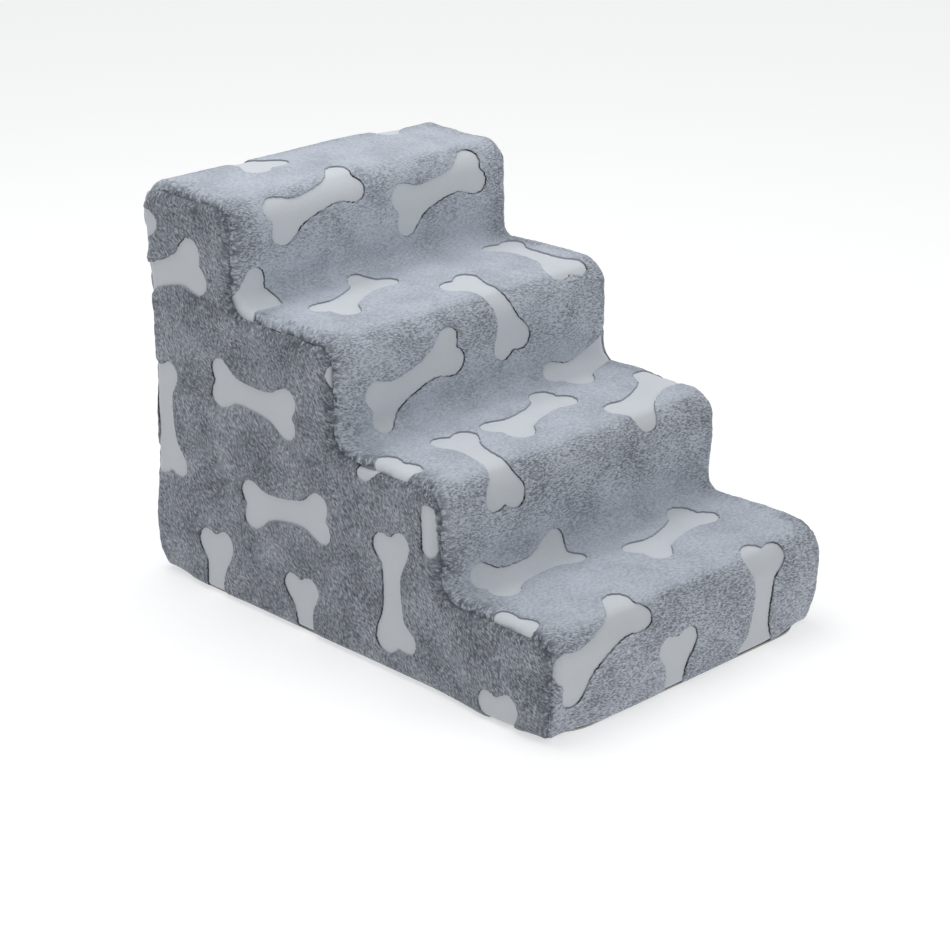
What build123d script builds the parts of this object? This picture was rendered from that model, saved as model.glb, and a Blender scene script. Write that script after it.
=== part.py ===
from build123d import *
import os

# Four-step foam pet stairs in a zip-off plush cover.
# Millimetres. +Z is up, the front (lowest step) faces -Y, and the origin is
# on the floor at the middle of the footprint.

# Driving dimensions
STEPS = 4
RISE = 100.0               # height of each step
GOING = 140.0              # depth of each tread below the top one
TOP_GOING = 130.0          # depth of the top tread
WIDTH = 368.0              # across the stairs
LENGTH = (STEPS - 1) * GOING + TOP_GOING
HEIGHT = STEPS * RISE

# Cover cloth
BASE_T = 2.0               # non-slip cloth underneath
PLUSH_T = 8.0              # plush cloth with its pile
BASE_INSET = 1.0           # the base cloth stops this far inside the plush
NOSE_R = 26.0              # rounding of each nose, outside
FOOT_R = 16.0              # rounding at the foot of each riser, outside
BACK_R = 22.0              # rounding of the top back edge, outside
SIDE_R = 18.0              # rounding where the flanks meet the strip, outside

# Zip across the back
ZIP_Z = 62.0               # height of the zip's centre line
ZIP_GAP = 20.0             # height of the slot between the two back panels
CHAIN_HALF = 150.0         # half the length of each coil row
TAPE_T = 0.8
TAPE_W = 14.0
ROW_GAP = 1.6              # space between the two rows, which the slider's bridge runs in
COIL_W = 2.5
COIL_T = 2.4
STOP_LENGTH = 3.0
STOP_OVER = 0.5            # how far a stop stands out past the coil
FIT = 0.4                  # running clearance of every zip part that moves

# Slider casting and pull tab
SLIDER_LENGTH = 14.0
SLIDER_W = 11.0
SLIDER_TAPER = 0.84        # width of the closing end over the width of the parting end
PLATE_T = 1.2
BRIDGE_W = 0.8
BRIDGE_LENGTH = 3.0
BAIL_LENGTH = 7.0
BAIL_W = 2.0
BAIL_T = 1.1
WINDOW_LENGTH = 4.4
WINDOW_H = 2.1
TAB_T = 1.2
TAB_W = 7.0
TAB_LENGTH = 26.0
TAB_ARM_W = 1.4
TAB_EYE_LENGTH = 6.5
TAB_HOLE_R = 1.5
SLIDER_X = 138.0           # the slider's place along the zip when it is closed
RELIEF_DEPTH = 2.0         # hollow that the slider presses in the foam
FOAM_EDGE_R = 4.0          # easing of the foam's hidden top back edges

# Places worked out from the sizes above, measured from the back face
BACK_Y = LENGTH / 2
FOAM_Y = BACK_Y - PLUSH_T                # the cover's inner face
COIL_Y = FOAM_Y + COIL_T                 # outer face of the coils
FRONT_PLATE_Y = COIL_Y + FIT             # inner face of the slider's outer plate
REAR_PLATE_Y = FOAM_Y - TAPE_T - FIT     # outer face of the slider's hidden plate
BAIL_Y = FRONT_PLATE_Y + PLATE_T         # outer face of the outer plate
TAB_BAR_R = TAB_T / 2
TAB_Y = BAIL_Y + FIT + TAB_BAR_R         # the pull tab's hinge line
TAPE_HALF = WIDTH / 2 - SIDE_R           # half the length of each tape


def span(x, y, z):
    """A box from three (low, high) pairs."""
    size = (x[1] - x[0], y[1] - y[0], z[1] - z[0])
    middle = ((x[0] + x[1]) / 2, (y[0] + y[1]) / 2, (z[0] + z[1]) / 2)
    return Pos(*middle) * Box(*size)


def stair_outline(inset, foot_r):
    """The stair-shaped outline in the YZ plane, moved inwards by inset, with soft noses and feet."""
    front = -LENGTH / 2 + inset
    back = LENGTH / 2 - inset
    corners = [(front, BASE_T)]
    radii = []
    for step in range(STEPS):
        riser = front + step * GOING
        tread = (step + 1) * RISE - inset
        corners.append((riser, tread))
        radii.append(NOSE_R - inset)
        if step < STEPS - 1:
            corners.append((riser + GOING, tread))
            radii.append(foot_r)
    corners.append((back, HEIGHT - inset))
    radii.append(BACK_R - inset)
    corners.append((back, BASE_T))
    points = [(0, y, z) for y, z in corners]
    upper = FilletPolyline(*points, radius=radii)
    floor_line = Line(points[-1], points[0])
    return make_face(Curve() + [upper, floor_line])


def rims_of(block, half, floor):
    """The edges round both flanks of a block, apart from those on its underside."""
    return [
        edge
        for edge in block.edges()
        if abs(abs(edge.center().X) - half) < 0.01 and edge.center().Z > floor + 0.5
    ]


def stair_block(inset, foot_r):
    """A solid flight of stairs whose side edges are rounded all along the outline."""
    half = WIDTH / 2 - inset
    block = extrude(stair_outline(inset, foot_r), amount=half, dir=(1, 0, 0), both=True)
    return fillet(rims_of(block, half, BASE_T), SIDE_R - inset)


def cover_shell():
    """The whole plush cover before it is cut into its panels; it bridges the foot of each riser."""
    return stair_block(0, FOOT_R) - stair_block(PLUSH_T, FOOT_R + PLUSH_T)


def side_panel(shell, side):
    """One stair-shaped flank: side is -1 for the left and +1 for the right."""
    inner = WIDTH / 2 - PLUSH_T
    x = sorted((side * inner, side * WIDTH))
    return shell & span(x, (-LENGTH, LENGTH), (-1, HEIGHT + 1))


def middle_of(shell):
    """The cover between its two flanks."""
    inner = WIDTH / 2 - PLUSH_T
    return shell & span((-inner, inner), (-LENGTH, LENGTH), (-1, HEIGHT + 1))


def stair_panel(shell):
    """The one strip over the top tread, risers, treads and front."""
    return middle_of(shell) & span((-WIDTH, WIDTH), (-LENGTH, FOAM_Y), (-1, HEIGHT + 1))


def back_panel(shell, low, high):
    """The part of the plush back between two heights."""
    return middle_of(shell) & span((-WIDTH, WIDTH), (FOAM_Y, LENGTH), (low, high))


def base_cloth():
    """The non-slip cloth that the stairs stand on."""
    width = WIDTH - 2 * BASE_INSET
    length = LENGTH - 2 * BASE_INSET
    outline = RectangleRounded(width, length, SIDE_R)
    return extrude(outline, amount=BASE_T)


def zip_hollow():
    """The room that the tapes and the slider's hidden plate press into the lowest foam slab."""
    tape_reach = ROW_GAP / 2 + TAPE_W
    tapes = span(
        (-TAPE_HALF, TAPE_HALF),
        (FOAM_Y - TAPE_T, FOAM_Y + 1),
        (ZIP_Z - tape_reach, ZIP_Z + tape_reach),
    )
    channel_half = SLIDER_W / 2 + FIT
    channel = span(
        (-CHAIN_HALF, CHAIN_HALF),
        (FOAM_Y - TAPE_T - RELIEF_DEPTH, FOAM_Y),
        (ZIP_Z - channel_half, ZIP_Z + channel_half),
    )
    return tapes + channel


def foam_slab(step):
    """One slab of the foam core, counted from the floor, with its cut edges eased."""
    front = -LENGTH / 2 + PLUSH_T + step * GOING
    low = BASE_T if step == 0 else step * RISE - PLUSH_T
    high = (step + 1) * RISE - PLUSH_T
    back_r = BACK_R - PLUSH_T if step == STEPS - 1 else FOAM_EDGE_R
    points = [(0, front, low), (0, front, high), (0, FOAM_Y, high), (0, FOAM_Y, low)]
    upper = FilletPolyline(*points, radius=[NOSE_R - PLUSH_T, back_r])
    outline = make_face(Curve() + [upper, Line(points[-1], points[0])])
    half = WIDTH / 2 - PLUSH_T
    slab = extrude(outline, amount=half, dir=(1, 0, 0), both=True)
    slab = fillet(rims_of(slab, half, low), SIDE_R - PLUSH_T)
    if step == 0:
        slab = slab - zip_hollow()
    return slab


def zip_tape(side):
    """A woven tape: side is +1 above the slider and -1 below it."""
    z = sorted((ZIP_Z + side * ROW_GAP / 2, ZIP_Z + side * (ROW_GAP / 2 + TAPE_W)))
    return span((-TAPE_HALF, TAPE_HALF), (FOAM_Y - TAPE_T, FOAM_Y), z)


def zip_coil(side):
    """A row of coil, as the bar that its loops fill."""
    z = sorted((ZIP_Z + side * ROW_GAP / 2, ZIP_Z + side * (ROW_GAP / 2 + COIL_W)))
    bar = span((-CHAIN_HALF, CHAIN_HALF), (FOAM_Y, COIL_Y), z)
    outer_edges = [
        edge
        for edge in bar.edges().filter_by(Axis.X)
        if abs(edge.center().Y - COIL_Y) < 0.01
    ]
    return fillet(outer_edges, COIL_W * 0.35)


def stop_block(x, z_low, z_high):
    """A crimped metal stop that stands on the tapes at one end of the chain."""
    block = span((x, x + STOP_LENGTH), (FOAM_Y, COIL_Y + STOP_OVER), (z_low, z_high))
    outer_edges = [edge for edge in block.edges() if edge.center().Y > COIL_Y]
    return fillet(outer_edges, 0.4)


def top_stops():
    """One stop past the closed end of each row."""
    reach = ROW_GAP / 2 + COIL_W
    upper = stop_block(CHAIN_HALF, ZIP_Z + ROW_GAP / 2, ZIP_Z + reach)
    lower = stop_block(CHAIN_HALF, ZIP_Z - reach, ZIP_Z - ROW_GAP / 2)
    return Compound([upper, lower])


def bottom_stop():
    """The stop that holds both rows together at the open end."""
    reach = ROW_GAP / 2 + COIL_W
    return stop_block(-CHAIN_HALF - STOP_LENGTH, ZIP_Z - reach, ZIP_Z + reach)


def slider_layer(y_low, y_high):
    """A layer of the slider's outline, widest at the end that parts the rows."""
    wide = SLIDER_W / 2
    narrow = wide * SLIDER_TAPER
    nose = SLIDER_LENGTH / 2
    tail = -SLIDER_LENGTH / 2
    outline = Polyline(
        (tail, 0, -narrow), (nose, 0, -wide), (nose, 0, wide), (tail, 0, narrow), (tail, 0, -narrow)
    )
    layer = extrude(make_face(outline), amount=y_high - y_low, dir=(0, 1, 0))
    layer = fillet(layer.edges().filter_by(Axis.Y), 1.6)
    return Pos(0, y_low, 0) * layer


def slider_walls():
    """The rims of the outer plate that fold in beside the coil rows, clear of the tapes."""
    channel = ROW_GAP / 2 + COIL_W + FIT
    rim = slider_layer(FOAM_Y + FIT, FRONT_PLATE_Y)
    return rim - span((-SLIDER_LENGTH, SLIDER_LENGTH), (FOAM_Y, BACK_Y), (-channel, channel))


def slider_bridge():
    """The wedge between the two plates, which runs between the rows."""
    nose = SLIDER_LENGTH / 2 - 1.0
    return span((nose - BRIDGE_LENGTH, nose), (REAR_PLATE_Y, FRONT_PLATE_Y), (-BRIDGE_W / 2, BRIDGE_W / 2))


def slider_bail():
    """The arch on the outer plate that the pull tab hangs in."""
    height = WINDOW_H + BAIL_T
    arch = span((-BAIL_LENGTH / 2, BAIL_LENGTH / 2), (BAIL_Y, BAIL_Y + height), (-BAIL_W / 2, BAIL_W / 2))
    shoulders = [
        edge
        for edge in arch.edges().filter_by(Axis.Z)
        if edge.center().Y > BAIL_Y + height / 2
    ]
    arch = fillet(shoulders, 1.4)
    window = span((-WINDOW_LENGTH / 2, WINDOW_LENGTH / 2), (BAIL_Y, BAIL_Y + WINDOW_H), (-BAIL_W, BAIL_W))
    return arch - window


def zip_slider():
    """The slider's casting at the closed end of the zip."""
    body = slider_layer(FRONT_PLATE_Y, BAIL_Y)
    body += slider_layer(REAR_PLATE_Y - PLATE_T, REAR_PLATE_Y)
    body += slider_walls()
    body += slider_bridge()
    body += slider_bail()
    return Pos(SLIDER_X, 0, ZIP_Z) * body


def pull_tab():
    """The tab, lying back along the closed chain, with its bar through the bail."""
    arm_z = BAIL_W / 2 + FIT
    bar = Cylinder(TAB_BAR_R, 2 * (arm_z + TAB_ARM_W))
    eye_end = -TAB_EYE_LENGTH
    flat = (-TAB_T / 2, TAB_T / 2)
    tab = bar
    for side in (-1, 1):
        z = sorted((side * arm_z, side * (arm_z + TAB_ARM_W)))
        tab += span((eye_end, 0), flat, z)
    blade = span((-TAB_LENGTH, eye_end), flat, (-TAB_W / 2, TAB_W / 2))
    blade = fillet(blade.edges().filter_by(Axis.Y), 1.8)
    hole = Pos(-TAB_LENGTH + 4.0, 0, 0) * Rot(90, 0, 0) * Cylinder(TAB_HOLE_R, 4 * TAB_T)
    tab += blade - hole
    return Pos(SLIDER_X, TAB_Y, ZIP_Z) * tab


def make_nodes():
    """Every sub-part by name."""
    shell = cover_shell()
    slot_low = ZIP_Z - ZIP_GAP / 2
    slot_high = ZIP_Z + ZIP_GAP / 2
    nodes = {}
    for step in range(STEPS):
        nodes[f"foam_slab_{step + 1}"] = foam_slab(step)
    nodes["stair_panel"] = stair_panel(shell)
    nodes["left_side_panel"] = side_panel(shell, -1)
    nodes["right_side_panel"] = side_panel(shell, 1)
    nodes["back_panel_upper"] = back_panel(shell, slot_high, HEIGHT + 1)
    nodes["back_panel_lower"] = back_panel(shell, -1, slot_low)
    nodes["bottom_panel"] = base_cloth()
    nodes["zip_tape_upper"] = zip_tape(1)
    nodes["zip_tape_lower"] = zip_tape(-1)
    nodes["zip_coil_upper"] = zip_coil(1)
    nodes["zip_coil_lower"] = zip_coil(-1)
    nodes["zip_top_stops"] = top_stops()
    nodes["zip_bottom_stop"] = bottom_stop()
    nodes["zip_slider"] = zip_slider()
    nodes["zip_pull_tab"] = pull_tab()
    return nodes


os.makedirs("parts", exist_ok=True)
for name, shape in make_nodes().items():
    export_step(shape, f"parts/{name}.step")
    box = shape.bounding_box()
    print(name, [round(v, 2) for v in (*box.min, *box.max)], round(shape.volume))
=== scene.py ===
"""Four-step foam pet stairs in a zip-off plush cover with sheared bones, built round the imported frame."""

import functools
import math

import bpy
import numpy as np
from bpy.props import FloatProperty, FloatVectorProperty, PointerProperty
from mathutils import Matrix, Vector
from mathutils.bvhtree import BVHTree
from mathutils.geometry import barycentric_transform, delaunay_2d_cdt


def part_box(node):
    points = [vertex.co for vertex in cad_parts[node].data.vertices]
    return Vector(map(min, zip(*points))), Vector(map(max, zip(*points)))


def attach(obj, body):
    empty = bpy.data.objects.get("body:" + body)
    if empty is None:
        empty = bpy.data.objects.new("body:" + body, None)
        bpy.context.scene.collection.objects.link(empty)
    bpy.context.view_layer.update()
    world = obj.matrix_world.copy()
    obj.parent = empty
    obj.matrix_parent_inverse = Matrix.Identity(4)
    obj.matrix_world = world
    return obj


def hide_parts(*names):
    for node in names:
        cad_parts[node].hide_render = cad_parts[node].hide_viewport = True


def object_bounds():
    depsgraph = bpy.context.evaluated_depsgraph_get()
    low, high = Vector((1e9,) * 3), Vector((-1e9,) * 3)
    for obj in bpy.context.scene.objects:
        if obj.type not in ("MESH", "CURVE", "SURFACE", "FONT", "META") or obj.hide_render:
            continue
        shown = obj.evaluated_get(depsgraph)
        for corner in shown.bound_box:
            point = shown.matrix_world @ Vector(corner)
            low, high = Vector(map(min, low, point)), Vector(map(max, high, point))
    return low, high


bl_info = {
    "name": "Plush Pet Stairs",
    "version": (1, 0, 0),
    "blender": (4, 5, 0),
    "location": "View3D > Sidebar > Pet Stairs",
    "description": "Makes the cover, core, zip and stage of a flight of foam pet stairs",
    "category": "Add Mesh",
}

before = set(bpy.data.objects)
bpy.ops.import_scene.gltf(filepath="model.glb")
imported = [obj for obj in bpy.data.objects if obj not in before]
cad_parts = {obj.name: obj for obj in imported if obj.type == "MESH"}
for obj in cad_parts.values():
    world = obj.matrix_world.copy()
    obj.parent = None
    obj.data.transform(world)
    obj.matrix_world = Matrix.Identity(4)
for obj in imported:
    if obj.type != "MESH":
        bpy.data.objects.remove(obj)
CAD_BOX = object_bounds()

# Sizes that the frame settles, in metres
MM = 0.001
STEPS = sum(name.startswith("foam_slab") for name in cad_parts)
WIDE = CAD_BOX[1].x - CAD_BOX[0].x
LONG = CAD_BOX[1].y - CAD_BOX[0].y
TALL = CAD_BOX[1].z
RISE = TALL / STEPS
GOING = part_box("foam_slab_2")[0].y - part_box("foam_slab_1")[0].y
BASE_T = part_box("bottom_panel")[1].z
ZIP_Z = (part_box("zip_coil_upper")[0].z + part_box("zip_coil_lower")[1].z) / 2
SLOT_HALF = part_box("back_panel_upper")[0].z - ZIP_Z
CHAIN_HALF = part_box("zip_coil_upper")[1].x
SLIDER_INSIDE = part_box("zip_slider")[0].y
FOAM_GRAIN = 8 * MM
BATCH = 2000  # how many points are measured at a time, to spare memory
FOAM_NAMES = [f"foam_slab_{step + 1}" for step in range(STEPS)]

# One quarter of a sheared bone's edge, from the middle of its shaft to the middle of its end
BONE_QUARTER = ((0, 12.4), (15, 13), (26, 15.6), (35, 21.5), (44.5, 26), (54, 24), (60, 16), (58.5, 6))
BONE_NOTCH = 55.5
STUB_QUARTER = ((0, 9.3), (15, 9.6), (22, 8.4), (25.2, 4.2))
STUB_NOTCH = 25.8

# Where the bones lie on each cut of plush: millimetres from the panel's zero, then degrees, and for some the
# degrees that their ends are twisted and their size, where nought stands for a stub that a seam cut off.
# On the strip the first number runs across the stairs and the second up from the floor along the cloth.
STRIP_BONES = (
    (-119, 80, 26, 0, 1.07), (-27, 2, 84, 8), (93, 46, 82, -10), (64, 179, 16), (-87, 215, 4), (-219, 140, 8),
    (-97, 342, 83), (8, 387, 17), (126, 352, 27), (-212, 378, 5), (-82, 486, 19), (33, 538, 105),
    (149, 446, 18), (-74, 624, 25), (136, 596, 88), (-191, 659, 22), (-72, 750, 14), (83, 731, 15),
    (-81, 874, 100), (150, 876, 12),
)
# On a flank they are the distance behind the middle and the height.
LEFT_BONES = (
    (120, 220, 4), (75, 120, -8), (-70, 83, 87, -12), (243, 315, -20), (250, 168, 84), (183, 6, 95, -12),
    (52, 3, 85), (-216, -25, 80), (-118, 157, 87, 0, 0), (-72, 220, -18), (-42, 267, -16), (310, 375, 30),
)
RIGHT_BONES = (
    (-205, 48, 12), (-104, 20, 84), (-22, 124, 20), (62, 48, -8), (96, 168, 80), (186, 92, 14),
    (246, -6, 88), (205, 214, -6), (142, 314, 80), (262, 352, 16), (-118, 160, 70), (10, 240, 8),
)
BACK_BONES = (
    (-128, 960, 22), (8, 962, 86), (128, 990, 14), (-62, 1046, 8), (62, 1088, 80), (-158, 1080, 86),
    (152, 1104, 20), (-34, 1152, 12), (-118, 1212, 80), (92, 1204, 6), (-6, 1268, 84), (186, 1276, 84),
)

# Which way the pile leans on flat cloth, which bares its roots on that side of a bone, where the cut edge is
# painted near black as shade
STRIP_LEAN = (0.9, -0.44)
FLANK_LEAN = (0.6, 0.8)

# The kinds of face on a plush panel, in the order of its materials
PILE, SHEARED, ROOT_SHADE, BACKING = range(4)


class CoverShape(bpy.types.PropertyGroup):
    """The plush cover's roundings, seams and sheared pattern."""

    nose: FloatProperty(
        name="Nose radius", description="Rounding of each step's nose", default=0.026, unit="LENGTH")
    foot: FloatProperty(
        name="Foot radius", description="Rounding where a riser meets the tread below", default=0.016,
        unit="LENGTH")
    back: FloatProperty(
        name="Back radius", description="Rounding of the top back edge", default=0.030, unit="LENGTH")
    side: FloatProperty(
        name="Side radius", description="Rounding that the side seams run along", default=0.018,
        unit="LENGTH")
    curl: FloatProperty(
        name="Base curl", description="Rounding of the cover's lower edge", default=0.007, unit="LENGTH")
    grain: FloatProperty(
        name="Grain", description="Distance between the points of the plush mesh", default=0.0033,
        unit="LENGTH")
    cloth: FloatProperty(
        name="Cloth", description="Thickness of the plush with its pile", default=0.0032, unit="LENGTH")
    shear: FloatProperty(
        name="Shear depth", description="How deep the bones are sheared into the pile", default=0.0021,
        unit="LENGTH")
    seam: FloatProperty(
        name="Seam depth", description="How far a seam pulls the plush in", default=0.0030, unit="LENGTH")
    pucker: FloatProperty(
        name="Pucker", description="Height of the gathers beside a seam", default=0.0004, unit="LENGTH")
    swell: FloatProperty(
        name="Swell", description="The furthest that the cover may stand off its plain shape",
        default=0.005, unit="LENGTH")


class CoverColours(bpy.types.PropertyGroup):
    """Colours of the cloths, foam and zip."""

    tip: FloatVectorProperty(
        name="Pile tips", description="The pile where its tips show", subtype="COLOR",
        default=(0.345, 0.368, 0.412))
    # Painted shade: the near-black colour painted where the pile parts, down the seams and on the cut edges
    # round the bones
    root: FloatVectorProperty(
        name="Pile roots", description="The pile where it parts", subtype="COLOR",
        default=(0.075, 0.085, 0.1))
    # Painted top light and sheen: the paler pile colour where it lies flat on the treads
    comb: FloatVectorProperty(
        name="Combed pile", description="The pile where it lies flat on the treads", subtype="COLOR",
        default=(0.486, 0.526, 0.592))
    bone: FloatVectorProperty(
        name="Bones", description="The short nap of the sheared bones", subtype="COLOR",
        default=(0.605, 0.632, 0.668))
    backing: FloatVectorProperty(
        name="Backing", description="The knit behind the pile", subtype="COLOR",
        default=(0.45, 0.46, 0.48))
    base: FloatVectorProperty(
        name="Base cloth", description="The non-slip cloth underneath", subtype="COLOR",
        default=(0.74, 0.74, 0.72))
    dots: FloatVectorProperty(
        name="Grip dots", description="The rubber dots underneath", subtype="COLOR",
        default=(0.2, 0.2, 0.21))
    foam: FloatVectorProperty(
        name="Foam", description="The foam slabs", subtype="COLOR", default=(0.72, 0.68, 0.5))
    zip: FloatVectorProperty(
        name="Zip", description="The zip's tape and coil", subtype="COLOR", default=(0.24, 0.26, 0.29))
    metal: FloatVectorProperty(
        name="Zip metal", description="The enamelled slider, tab and stops", subtype="COLOR",
        default=(0.3, 0.31, 0.33))


class StudioSettings(bpy.types.PropertyGroup):
    """The camera, the lights and the floor."""

    azimuth: FloatProperty(
        name="Azimuth", description="Degrees from the view along +Y", default=-44.22)
    elevation: FloatProperty(
        name="Elevation", description="Degrees above the horizon", default=22.11)
    roll: FloatProperty(
        name="Roll", description="Degrees that the camera leans", default=-0.21)
    distance: FloatProperty(
        name="Distance", description="From the camera to the point that it looks at", default=2.705,
        unit="LENGTH")
    lens: FloatProperty(
        name="Lens", description="Focal length in millimetres", default=107.3, unit="CAMERA")
    aim: FloatVectorProperty(
        name="Aim", description="The point that the camera looks at", subtype="XYZ",
        default=(-0.011, -0.001, 0.1285))
    sky: FloatProperty(
        name="Sky", description="Strength of the even light all round", default=0.53)
    lamp: FloatProperty(
        name="Lamp", description="Power of the soft light overhead", default=15.0, unit="POWER")
    front: FloatProperty(
        name="Front lamp", description="Power of the soft light in front", default=9.5, unit="POWER")
    paper: FloatProperty(
        name="Paper", description="How pale the floor is", default=0.58)
    glow: FloatProperty(
        name="Glow", description="How strongly the floor shines of itself", default=0.54)


# ---------------------------------------------------------------- flat geometry


def waves(points, length, seed, count=7):
    """Smooth heights between about -1 and 1 whose hills are about `length` apart."""
    draw = np.random.default_rng(seed)
    total = np.zeros(len(points))
    for _ in range(count):
        way = draw.normal(size=points.shape[1])
        way *= 2 * math.pi / (np.linalg.norm(way) * length * draw.uniform(0.7, 1.5))
        total += np.sin(points @ way + draw.uniform(0, 2 * math.pi))
    return total / math.sqrt(count)


def hill(values, top, width):
    """1 where a value is at the top, easing to 0 within about twice the width on both sides."""
    return np.exp(-((values - top) / width) ** 2)


def nearest_on_path(points, path, closed=False):
    """Each point's distance to a path of straight runs, and how far along the path its nearest spot is."""
    ends = np.roll(path, -1, axis=0) if closed else path[1:]
    starts = path if closed else path[:-1]
    runs = ends - starts
    squares = np.maximum((runs ** 2).sum(1), 1e-12)
    before = np.r_[0, np.cumsum(np.linalg.norm(runs, axis=1))]
    distance = np.empty(len(points))
    along = np.empty(len(points))
    for low in range(0, len(points), BATCH):
        part = points[low:low + BATCH, None] - starts[None]
        share = np.clip((part * runs).sum(2) / squares, 0, 1)
        gaps = ((part - share[..., None] * runs) ** 2).sum(2)
        best = gaps.argmin(1)
        rows = np.arange(len(best))
        distance[low:low + BATCH] = np.sqrt(gaps[rows, best])
        along[low:low + BATCH] = before[best] + share[rows, best] * np.sqrt(squares[best])
    return distance, along


def from_ring(points, ring):
    """The distance from each point to a closed ring."""
    return nearest_on_path(points, ring, True)[0]


def inside_ring(points, ring):
    """Which points lie inside a closed ring."""
    x, y = ring.T
    x2, y2 = np.roll(ring, -1, axis=0).T
    result = np.empty(len(points), bool)
    for low in range(0, len(points), BATCH):
        px = points[low:low + BATCH, 0, None]
        py = points[low:low + BATCH, 1, None]
        crosses = (y > py) != (y2 > py)
        with np.errstate(divide="ignore", invalid="ignore"):
            where = x + (py - y) * (x2 - x) / (y2 - y)
        result[low:low + BATCH] = (crosses & (px < where)).sum(1) % 2 == 1
    return result


def signed_area(ring):
    """The area in a closed ring, positive where it runs counterclockwise."""
    x, y = ring.T
    return (x * np.roll(y, -1) - np.roll(x, -1) * y).sum() / 2


def even_ring(corners, gap):
    """A closed ring through the corners with points about `gap` apart on its straight runs."""
    made = []
    for start, end in zip(corners, np.roll(corners, -1, axis=0)):
        steps = max(1, round(float(np.linalg.norm(end - start)) / gap))
        shares = np.arange(steps)[:, None] / steps
        made.append(start + shares * (end - start))
    return np.vstack(made)


def smooth_ring(corners, gap):
    """A closed smooth curve through the corners, with points about `gap` apart."""
    before, after, later = (np.roll(corners, k, axis=0) for k in (1, -1, -2))
    t = np.linspace(0, 1, 12, endpoint=False)[:, None, None]
    curve = 0.5 * (
        2 * corners + (after - before) * t
        + (2 * before - 5 * corners + 4 * after - later) * t ** 2
        + (3 * corners - before - 3 * after + later) * t ** 3)
    dense = curve.transpose(1, 0, 2).reshape(-1, 2)
    closed = np.vstack([dense, dense[:1]])
    run = np.r_[0, np.cumsum(np.linalg.norm(np.diff(closed, axis=0), axis=1))]
    marks = np.linspace(0, run[-1], max(8, round(run[-1] / gap)), endpoint=False)
    return np.column_stack([np.interp(marks, run, closed[:, k]) for k in (0, 1)])


def hex_points(low, high, gap):
    """A honeycomb of points between two corners."""
    rows = np.arange(low[1], high[1], gap * math.sqrt(3) / 2)
    columns = np.arange(low[0], high[0], gap)
    x, y = np.meshgrid(columns, rows)
    x[1::2] += gap / 2
    return np.column_stack([x.ravel(), y.ravel()])


class Bone:
    """One sheared bone on a flat panel, in millimetres."""

    REACH = 80
    RIM_GAP = 2.2
    WALL = 0.75
    TUFT = 4.5
    RAGGED = 0.42

    def __init__(self, x, y, degrees, twist=0, size=1, seed=0):
        draw = np.random.default_rng(seed)
        quarter, notch = (BONE_QUARTER, BONE_NOTCH) if size else (STUB_QUARTER, STUB_NOTCH)
        corners = self.whole(quarter, notch) * (size or 1)
        corners *= draw.uniform(0.95, 1.05, 2)
        skew = draw.uniform(-0.05, 0.05, 2)
        corners *= 1 + (np.sign(corners[:, :1]) * skew)
        corners[:, 1] += draw.uniform(-2.5, 2.5) * (corners[:, 0] / 60) ** 2
        corners = self.twisted(corners, math.radians(twist))
        turn = math.radians(degrees)
        spin = np.array([[math.cos(turn), math.sin(turn)], [-math.sin(turn), math.cos(turn)]])
        self.centre = np.array([x, y], float)
        smooth = smooth_ring(corners @ spin + self.centre, self.RIM_GAP)
        ragged = waves(smooth, self.TUFT, seed + 50) * self.RAGGED
        out = self.outward(smooth)
        self.rim = smooth + out * ragged[:, None]
        self.foot = self.rim - out * self.WALL

    @staticmethod
    def twisted(corners, angle):
        """The ring with the two lobes of each end turned about the end's middle."""
        hub = np.column_stack([np.sign(corners[:, 0]) * 45, np.zeros(len(corners))])
        turn = angle * np.clip((np.abs(corners[:, 0]) - 20) / 18, 0, 1)
        x, y = (corners - hub).T
        return hub + np.column_stack([
            x * np.cos(turn) - y * np.sin(turn), x * np.sin(turn) + y * np.cos(turn)])

    @staticmethod
    def whole(quarter, end):
        """The bone's ring of corners from one quarter of it and how far out the middle of its end is."""
        quarter = np.array(quarter, float)
        upper_right = quarter
        lower_right = quarter[1:][::-1] * (1, -1)
        lower_left = quarter * (-1, -1)
        upper_left = quarter[1:][::-1] * (-1, 1)
        notch = np.array([[end, 0]])
        return np.vstack([upper_right, notch, lower_right, lower_left, -notch, upper_left])

    @staticmethod
    def outward(ring):
        """Unit normals that point out of a clockwise ring."""
        run = np.roll(ring, -1, axis=0) - np.roll(ring, 1, axis=0)
        run /= np.linalg.norm(run, axis=1)[:, None]
        return np.column_stack([-run[:, 1], run[:, 0]])

    def depths(self, points):
        """Signed distance into the bone from its rim, for every point near it."""
        depth = np.full(len(points), -np.inf)
        near = np.linalg.norm(points - self.centre, axis=1) < self.REACH
        if near.any():
            gap = from_ring(points[near], self.rim)
            depth[near] = np.where(inside_ring(points[near], self.rim), gap, -gap)
        return depth

    def lee(self, points, lean):
        """How squarely the rim nearest each point faces the way that the pile leans, from -1 to 1."""
        nearest = ((points[:, None] - self.rim[None]) ** 2).sum(2).argmin(1)
        return self.outward(self.rim)[nearest] @ lean

    def on_floor(self, points):
        """Which points lie on the sheared floor."""
        result = np.zeros(len(points), bool)
        near = np.linalg.norm(points - self.centre, axis=1) < self.REACH
        if near.any():
            result[near] = inside_ring(points[near], self.foot)
        return result


def triangulate(border, rings, scatter):
    """Points and triangles of a flat panel, cut along its border and the rings on it."""
    groups = [border, *rings]
    edges = []
    start = len(border)
    for ring in rings:
        count = len(ring)
        edges += [(start + k, start + (k + 1) % count) for k in range(count)]
        start += count
    flat = [Vector(point) for point in np.vstack([*groups, scatter]).tolist()]
    points, _, faces, origins, _, owners = delaunay_2d_cdt(
        flat, edges, [list(range(len(border)))], 1, 1e-4, True)
    triangles = np.array([face for face, owner in zip(faces, owners) if owner])
    used, triangles = np.unique(triangles, return_inverse=True)
    points = np.array([points[k] for k in used])
    origins = [origins[k] for k in used]
    return points, triangles.reshape(-1, 3), origins


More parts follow.
